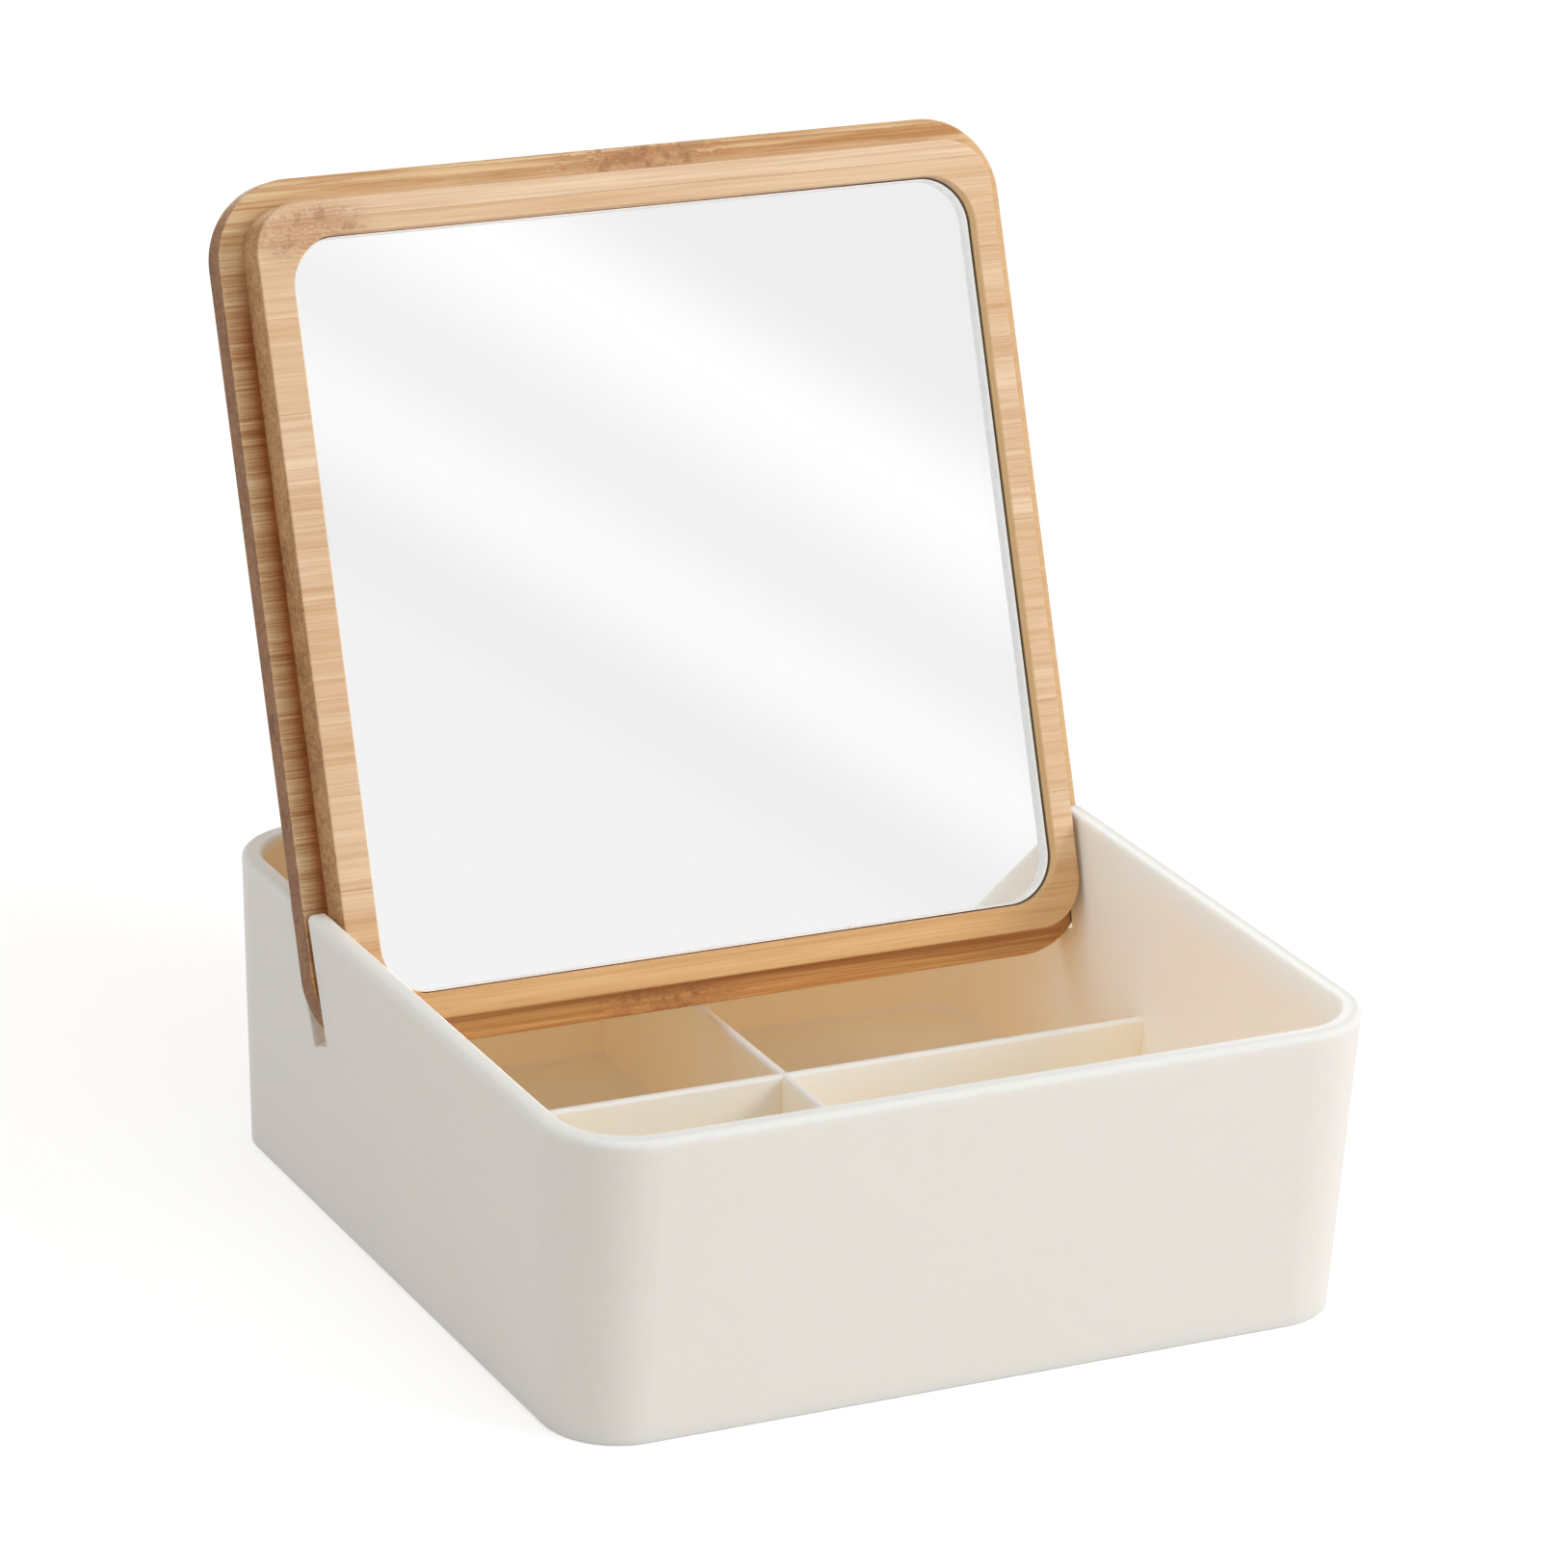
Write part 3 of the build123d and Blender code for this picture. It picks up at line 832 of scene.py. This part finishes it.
def moulded_plastic(name, colour):
    """Ivory ABS, injection moulded with a fine satin texture. The eye gets a soft broad sheen,
    a painted glow for light that seeps through the walls, and a painted warmer tone inside, where
    light goes to and fro."""
    material, tree = new_material(name)
    place = add(tree, "ShaderNodeTexCoord").outputs["Object"]
    grit = add(tree, NOISE, {"Vector": place, "Scale": 1 / (0.5 * MM), "Detail": 1.0})
    flow = add(tree, NOISE, {"Vector": place, "Scale": 1 / (45 * MM), "Detail": 2.0})
    spot = add(tree, "ShaderNodeSeparateXYZ", {0: place})
    across, back, height = (spot.outputs[axis] for axis in "XYZ")
    inside = within_walls(tree, place, height)
    lit = add(tree, OCCLUSION, {"Distance": OPEN_REACH}, samples=OCCLUSION_RAYS).outputs["AO"]
    deep = add(tree, RANGE, {"Value": lit, "From Min": 0.45, "From Max": 0.1},
               interpolation_type=SMOOTH)

    # The wall on the right has the light behind it: it is warmer below its rim, towards the front
    warmer = None
    for way, start, end in (
        (across, 60, 80), (height, 20, 38), (back, 30, -15), (height, 62, 57),
    ):
        here = add(tree, RANGE, {"Value": way, "From Min": start * MM, "From Max": end * MM})
        warmer = here if warmer is None else add(
            tree, MATH, {0: warmer, 1: here}, operation="MULTIPLY")
    cream = add(tree, MIX, {
        "Factor": warmer, "A": linear("EEECE8"), "B": linear("F0E6DA"),
    }, data_type="RGBA")
    # Painted warm tone where the walls shut the light in, for light that goes to and fro between
    # them
    cream = add(tree, MIX, {
        "Factor": deep, "A": cream, "B": linear("F4DDB0"),
    }, data_type="RGBA")
    tinted = add(tree, MIX, {
        "Factor": inside, "A": colour, "B": cream,
    }, data_type="RGBA")
    rim = add(tree, RANGE, {
        "Value": height, "From Min": RIM[0], "From Max": RIM[1]}, interpolation_type=SMOOTH)
    tinted = add(tree, MIX, {
        "Factor": rim, "A": tinted, "B": linear("EFF0ED"),
    }, data_type="RGBA")
    varied = add(tree, MIX, {
        "Factor": add(tree, RANGE, {
            "Value": flow, "From Min": 0.3, "From Max": 0.7, "To Max": 0.04}),
        "A": tinted, "B": linear("DDD2C2"),
    }, data_type="RGBA")
    lit_side = add(tree, RANGE, {
        "Value": across, "From Min": LIT_SIDE[0], "From Max": LIT_SIDE[1],
        "To Min": SHADED_SEEPING, "To Max": LIT_SEEPING}, interpolation_type=SMOOTH)
    # Painted glow: the plastic gives off light in its own tone behind its outer face, stronger on
    # the lit right side
    painted_glow = add(tree, MIX, {"Factor": deep, "A": lit_side, "B": SEEPING})
    painted_glow = add(tree, MATH, {0: inside, 1: painted_glow}, operation="MULTIPLY")
    relief = add(tree, "ShaderNodeBump", {"Height": grit, "Strength": 0.25, "Distance": 0.02 * MM})
    surface = add(tree, PRINCIPLED, {
        "Base Color": varied, "Roughness": 0.38, "Normal": relief, "IOR": 1.53,
        "Subsurface Weight": 0.5, "Subsurface Radius": (1.0, 0.7, 0.45),
        "Subsurface Scale": 4 * MM, "Emission Color": tinted, "Emission Strength": painted_glow})
    add(tree, "ShaderNodeOutputMaterial", {"Surface": surface})
    return material


def clear_glass(name):
    """Float glass. The eye sees through it to the silvering, with a faint reflection on top."""
    material, tree = new_material(name)
    place = add(tree, "ShaderNodeTexCoord").outputs["Object"]
    waves = add(tree, NOISE, {"Vector": place, "Scale": 1 / (60 * MM), "Detail": 1.0})
    relief = add(tree, "ShaderNodeBump", {"Height": waves, "Strength": 0.05, "Distance": 0.01 * MM})
    surface = add(tree, PRINCIPLED, {
        "Base Color": linear("FFFFFF"), "Roughness": 0.0, "Transmission Weight": 1.0,
        "IOR": 1.5, "Normal": relief})
    add(tree, "ShaderNodeOutputMaterial", {"Surface": surface})
    return material


def silvering(name, tint):
    """Silver behind the glass. The eye gets a clear reflection with hardly any tint."""
    material, tree = new_material(name)
    place = add(tree, "ShaderNodeTexCoord").outputs["Object"]
    clouds = add(tree, NOISE, {"Vector": place, "Scale": 1 / (40 * MM), "Detail": 2.0})
    faded = add(tree, MIX, {
        "Factor": add(tree, MATH, {0: clouds, 1: 0.02}, operation="MULTIPLY"),
        "A": tint, "B": linear("D8DCDC"),
    }, data_type="RGBA")
    surface = add(tree, PRINCIPLED, {"Base Color": faded, "Metallic": 1.0, "Roughness": 0.0})
    add(tree, "ShaderNodeOutputMaterial", {"Surface": surface})
    return material


def ground_glass(name):
    """The ground sides of the glass. The eye gets a pale grey band along the edge, mostly
    through the front."""
    material, tree = new_material(name)
    place = add(tree, "ShaderNodeTexCoord").outputs["Object"]
    marks = add(tree, NOISE, {"Vector": place, "Scale": 1 / (0.8 * MM), "Detail": 2.0})
    colour = add(tree, MIX, {
        "Factor": marks, "A": linear("E4E5E4"), "B": linear("F2F3F2"),
    }, data_type="RGBA")
    # Painted glow: light gathers in the edge from all over the glass, and a little of it leaves
    # again here, given off by the edge itself
    surface = add(tree, PRINCIPLED, {
        "Base Color": colour, "Roughness": 0.8, "IOR": 1.5,
        "Emission Color": colour, "Emission Strength": 0.42})
    add(tree, "ShaderNodeOutputMaterial", {"Surface": surface})
    return material


def foam(name):
    """Double-sided polyethylene foam tape. The eye gets a matt off-white, with fine cells."""
    material, tree = new_material(name)
    place = add(tree, "ShaderNodeTexCoord").outputs["Object"]
    cells = add(tree, "ShaderNodeTexVoronoi", {"Vector": place, "Scale": 1 / (0.4 * MM)})
    colour = add(tree, MIX, {
        "Factor": cells, "A": linear("D6D4CC"), "B": linear("EDECE6"),
    }, data_type="RGBA")
    relief = add(tree, "ShaderNodeBump", {"Height": cells, "Strength": 0.4, "Distance": 0.05 * MM})
    surface = add(tree, PRINCIPLED, {"Base Color": colour, "Roughness": 0.85, "Normal": relief})
    add(tree, "ShaderNodeOutputMaterial", {"Surface": surface})
    return material


# Stage


CAMERA_PLACE = Vector((-0.61421758, -1.18127184, 0.59493604))
CAMERA_RIGHT = Vector((0.89406325, -0.44624755, 0.03891053))
CAMERA_DOWN = Vector((-0.12431216, -0.33063513, -0.93553562))
CAMERA_FORWARD = Vector((0.43034566, 0.83159097, -0.35108271))
SENSOR_WIDTH = 36  # mm
LENS = 161.04  # mm


def make_camera():
    """The camera, at the view that the box is usually seen from."""
    data = bpy.data.cameras.new("Camera")
    camera = bpy.data.objects.new("Camera", data)
    bpy.context.scene.collection.objects.link(camera)
    turn = Matrix((CAMERA_RIGHT, -CAMERA_DOWN, -CAMERA_FORWARD)).transposed()
    camera.matrix_world = Matrix.Translation(CAMERA_PLACE) @ turn.to_4x4()
    data.sensor_width = SENSOR_WIDTH
    data.lens = LENS
    bpy.context.scene.camera = camera


def seen_directly(tree):
    """1 for rays that show the background: straight, mirrored, or through something clear."""
    ray = add(tree, "ShaderNodeLightPath").outputs
    shown = add(tree, MATH, {0: ray["Is Camera Ray"], 1: ray["Is Glossy Ray"]}, operation="MAXIMUM")
    return add(tree, MATH, {0: shown, 1: ray["Is Transmission Ray"]}, operation="MAXIMUM")


# Soft bands of light that the standing mirror shows: the place and level of each crest and trough
BANDS = [(-0.071, 0.855), (-0.053, 0.99), (-0.032, 0.88),
         (-0.0165, 0.955), (0.001, 0.85), (0.014, 0.89)]
BAND_SLOPE = 0.575  # how far they fall in the mirror for each step to the right
BAND_REACH = 0.9  # cosine of the angle, from the middle of what the mirror shows, where they stop
MIRROR_SHARE = 0.92  # of the light that meets it, which the mirror sends back


def band_ramp(tree, height):
    """The bands, one above the other."""
    ramp = add(tree, "ShaderNodeValToRGB", {"Fac": height})
    ramp.color_ramp.interpolation = "EASE"
    stops = ramp.color_ramp.elements
    (low, lowest), (high, highest) = BANDS[0], BANDS[-1]
    stops[0].color = (lowest, lowest, lowest, 1.0)
    stops[-1].color = (highest, highest, highest, 1.0)
    for place, level in BANDS[1:-1]:
        stops.new((place - low) / (high - low)).color = (level, level, level, 1.0)
    return ramp


def make_room(stage):
    """The light from all round. It shows white, with soft bands far in front of the box."""
    world = bpy.data.worlds.new("Room")
    bpy.context.scene.world = world
    world.use_nodes = True
    tree = world.node_tree
    tree.nodes.clear()
    direction = add(tree, "ShaderNodeTexCoord").outputs["Generated"]
    ahead = CAMERA_FORWARD.reflect(LID_FRONT)
    over = (CAMERA_DOWN - CAMERA_RIGHT * BAND_SLOPE).reflect(LID_FRONT)
    forward = add(tree, VECTOR_MATH, {0: direction, 1: ahead}, operation="DOT_PRODUCT")
    forward = forward.outputs["Value"]
    across = add(tree, VECTOR_MATH, {0: direction, 1: over}, operation="DOT_PRODUCT")
    slope = add(tree, MATH, {0: across.outputs["Value"], 1: forward}, operation="DIVIDE")
    height = add(tree, RANGE, {
        "Value": slope, "From Min": BANDS[0][0], "From Max": BANDS[-1][0]})
    is_ahead = add(tree, MATH, {0: forward, 1: BAND_REACH}, operation="GREATER_THAN")
    ray = add(tree, "ShaderNodeLightPath").outputs
    by_mirror = add(tree, MATH, {
        0: ray["Is Glossy Ray"], 1: ray["Is Transmission Ray"]}, operation="MAXIMUM")
    in_bands = add(tree, MATH, {0: is_ahead, 1: by_mirror}, operation="MULTIPLY")
    banded = add(tree, MIX, {
        "Factor": in_bands, "A": (1.0, 1.0, 1.0, 1.0), "B": band_ramp(tree, height),
    }, data_type="RGBA")
    level = add(tree, MATH, {
        0: in_bands, 1: 1 / MIRROR_SHARE - 1, 2: 1.0}, operation="MULTIPLY_ADD")
    seen = add(tree, "ShaderNodeBackground", {"Color": banded, "Strength": level})
    light = add(tree, "ShaderNodeBackground", {"Color": linear("FFFDFA"), "Strength": stage.sky})
    mixed = add(tree, "ShaderNodeMixShader", {0: seen_directly(tree), 1: light, 2: seen})
    add(tree, "ShaderNodeOutputWorld", {"Surface": mixed})


FLOOR_REACH = 6.0  # metres from the middle to each side


def make_floor():
    """A wide pale floor. It shows white, apart from the object's soft shadow."""
    mesh = bpy.data.meshes.new("Floor")
    ways = ((-1, -1), (1, -1), (1, 1), (-1, 1))
    mesh.from_pydata([(x * FLOOR_REACH, y * FLOOR_REACH, 0) for x, y in ways], [], [(0, 1, 2, 3)])
    floor = bpy.data.objects.new("Floor", mesh)
    bpy.context.scene.collection.objects.link(floor)
    material, tree = new_material("Matt white paper")
    plain = add(tree, "ShaderNodeBsdfDiffuse", {"Color": linear("D9D9D9")})
    bright = add(tree, "ShaderNodeEmission", {"Strength": 0.55})
    both = add(tree, "ShaderNodeAddShader", {0: plain, 1: bright})
    surface = add(tree, "ShaderNodeMixShader", {0: seen_directly(tree), 1: plain, 2: both})
    add(tree, "ShaderNodeOutputMaterial", {"Surface": surface})
    mesh.materials.append(material)


# Lamps, each with its width and place in metres. They all point at the middle of the object
LAMPS = (
    ("Key", 0.9, (1.35, -1.3, 1.1)),
    ("Front", 0.9, (0.1, -1.9, 0.6)),
    ("Top", 1.2, (0.2, 0.0, 1.8)),
    ("Fill", 0.9, (-1.7, 0.35, 0.6)),
)
MIDDLE = Vector((0, 0, 80)) * MM


def make_lamp(name, power, width, place):
    """A round lamp that gives light but isn't seen itself, in the mirror either."""
    data = bpy.data.lights.new(name, "AREA")
    data.energy = power
    data.shape = "DISK"
    data.size = width
    lamp = bpy.data.objects.new(name, data)
    bpy.context.scene.collection.objects.link(lamp)
    lamp.visible_glossy = False
    lamp.visible_camera = False
    turn = (place - MIDDLE).to_track_quat("Z", "Y").to_matrix().to_4x4()
    lamp.matrix_world = Matrix.Translation(place) @ turn


# Operators


class VANITY_OT_stage(bpy.types.Operator):
    """Adds the camera, the floor, the room's light and the lamps"""

    bl_idname = "vanity.stage"
    bl_label = "Stage"

    def execute(self, context):
        stage = context.scene.vanity_stage
        context.scene.view_settings.view_transform = "Standard"
        make_camera()
        make_room(stage)
        make_floor()
        for name, width, place in LAMPS:
            make_lamp(name, getattr(stage, name.lower()), width, Vector(place))
        return {"FINISHED"}


class VANITY_OT_box(bpy.types.Operator):
    """Gives the moulded box its plastic"""

    bl_idname = "vanity.box"
    bl_label = "Moulded box"

    def execute(self, context):
        finishes = context.scene.vanity_finishes
        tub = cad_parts["tub"]
        tub.data.materials.clear()
        tub.data.materials.append(moulded_plastic("Moulded ivory ABS", list(finishes.plastic)))
        return {"FINISHED"}


class VANITY_OT_lid_plate(bpy.types.Operator):
    """Makes the outer bamboo board of the lid"""

    bl_idname = "vanity.lid_plate"
    bl_label = "Lid plate"

    def execute(self, context):
        sizes, finishes = context.scene.vanity_lid, context.scene.vanity_finishes
        wood = bamboo(
            "Carbonised bamboo plate", list(finishes.plate_light), list(finishes.plate_dark),
            ends=("7A553E", "AB8060"), strip=20.5, first_joint=71.9,
            knuckles=[(7, 177.5, 26, 5), (-12, 1.5, 22, 5)], seed=3.1, streaks=1.6)
        edge = sizes.plate_edge
        make_piece("bamboo_lid_plate", plate_tree(slab_tree()), {
            **square_slab(LID_SIDE, PLATE_THICKNESS, sizes.plate_corner, PLATE_BORDER,
                          front=edge, back=edge, steps=ROUND_STEPS),
            **stood_up(on_lid(0), wood),
        }, "lid", "lid_plate")
        return {"FINISHED"}


class VANITY_OT_mirror_board(bpy.types.Operator):
    """Makes the inner bamboo board, with the pocket for the mirror"""

    bl_idname = "vanity.mirror_board"
    bl_label = "Mirror board"

    def execute(self, context):
        sizes, finishes = context.scene.vanity_lid, context.scene.vanity_finishes
        wood = bamboo(
            "Carbonised bamboo board", list(finishes.board_light), list(finishes.board_dark),
            ends=("966B45", "D4A676"), strip=19.5, first_joint=92.5,
            knuckles=[(-72, 168, 17, 9)], seed=11.4, streaks=0.75)
        make_piece("bamboo_mirror_board", board_tree(slab_tree()), {
            **square_slab(BOARD_SIDE, BOARD_THICKNESS, sizes.board_corner, INNER_BORDER,
                          front=sizes.board_edge, steps=ROUND_STEPS),
            "Pocket Width": sizes.pocket_width, "Pocket Length": sizes.pocket_length,
            "Pocket Corner": sizes.pocket_corner, "Pocket Depth": sizes.pocket_depth,
            "Pocket Chamfer": sizes.pocket_chamfer,
            "Pocket Shift X": sizes.pocket_side, "Pocket Shift Y": -sizes.pocket_down,
            **stood_up(on_lid(PLATE_THICKNESS), wood),
        }, "lid", "mirror_board")
        return {"FINISHED"}


class VANITY_OT_mirror_glass(bpy.types.Operator):
    """Makes the mirror's glass"""

    bl_idname = "vanity.mirror_glass"
    bl_label = "Mirror glass"

    def execute(self, context):
        sizes, finishes = context.scene.vanity_lid, context.scene.vanity_finishes
        place = on_glass(sizes, TAPE_THICKNESS + SEAM)
        make_piece("silvered_mirror", mirror_tree(slab_tree()), {
            **square_slab(GLASS_SIDE, GLASS_THICKNESS - SEAM, sizes.glass_corner, INNER_BORDER,
                          front=sizes.glass_arris),
            **stood_up(place, clear_glass("Float glass")),
            "Edge Finish": ground_glass("Ground glass edge"),
            "Back Finish": silvering("Silvering", list(finishes.silver)),
        }, "lid", "mirror_glass")
        return {"FINISHED"}


class VANITY_OT_mirror_tape(bpy.types.Operator):
    """Makes the foam tape behind the mirror"""

    bl_idname = "vanity.mirror_tape"
    bl_label = "Mirror tape"

    def execute(self, context):
        sizes = context.scene.vanity_lid
        length = GLASS_SIDE - 2 * sizes.tape_end_margin
        make_piece("foam_tape_strips", tape_tree(), {
            "Strips": sizes.tape_count,
            "Span": GLASS_SIDE - 2 * sizes.tape_side_margin - sizes.tape_width,
            "Strip Size": (sizes.tape_width, length, TAPE_THICKNESS),
            **stood_up(on_glass(sizes, TAPE_THICKNESS / 2), foam("Polyethylene foam tape")),
        }, "lid", "mirror_tape")
        return {"FINISHED"}


class VANITY_PT_panel(bpy.types.Panel):
    """Sizes, finishes and the buttons that make the pieces"""

    bl_idname = "VANITY_PT_panel"
    bl_label = "Vanity Box"
    bl_space_type = "VIEW_3D"
    bl_region_type = "UI"
    bl_category = "Vanity Box"

    def draw(self, context):
        scene = context.scene
        for group in (scene.vanity_lid, scene.vanity_finishes, scene.vanity_stage):
            box = self.layout.box()
            for key in group.__annotations__:
                box.prop(group, key)
        for operator in OPERATORS:
            self.layout.operator(operator.bl_idname)


GROUPS = (VanityLidSizes, VanityFinishes, VanityStage)
OPERATORS = (
    VANITY_OT_stage,
    VANITY_OT_box,
    VANITY_OT_lid_plate,
    VANITY_OT_mirror_board,
    VANITY_OT_mirror_glass,
    VANITY_OT_mirror_tape,
)


def register():
    for cls in (*GROUPS, *OPERATORS, VANITY_PT_panel):
        bpy.utils.register_class(cls)
    bpy.types.Scene.vanity_lid = PointerProperty(type=VanityLidSizes)
    bpy.types.Scene.vanity_finishes = PointerProperty(type=VanityFinishes)
    bpy.types.Scene.vanity_stage = PointerProperty(type=VanityStage)


def unregister():
    del bpy.types.Scene.vanity_stage
    del bpy.types.Scene.vanity_finishes
    del bpy.types.Scene.vanity_lid
    for cls in (VANITY_PT_panel, *reversed(OPERATORS), *reversed(GROUPS)):
        bpy.utils.unregister_class(cls)


def main():
    register()
    bpy.ops.vanity.stage()
    bpy.ops.vanity.box()
    bpy.ops.vanity.lid_plate()
    bpy.ops.vanity.mirror_board()
    bpy.ops.vanity.mirror_glass()
    bpy.ops.vanity.mirror_tape()


if __name__ == "__main__":
    main()
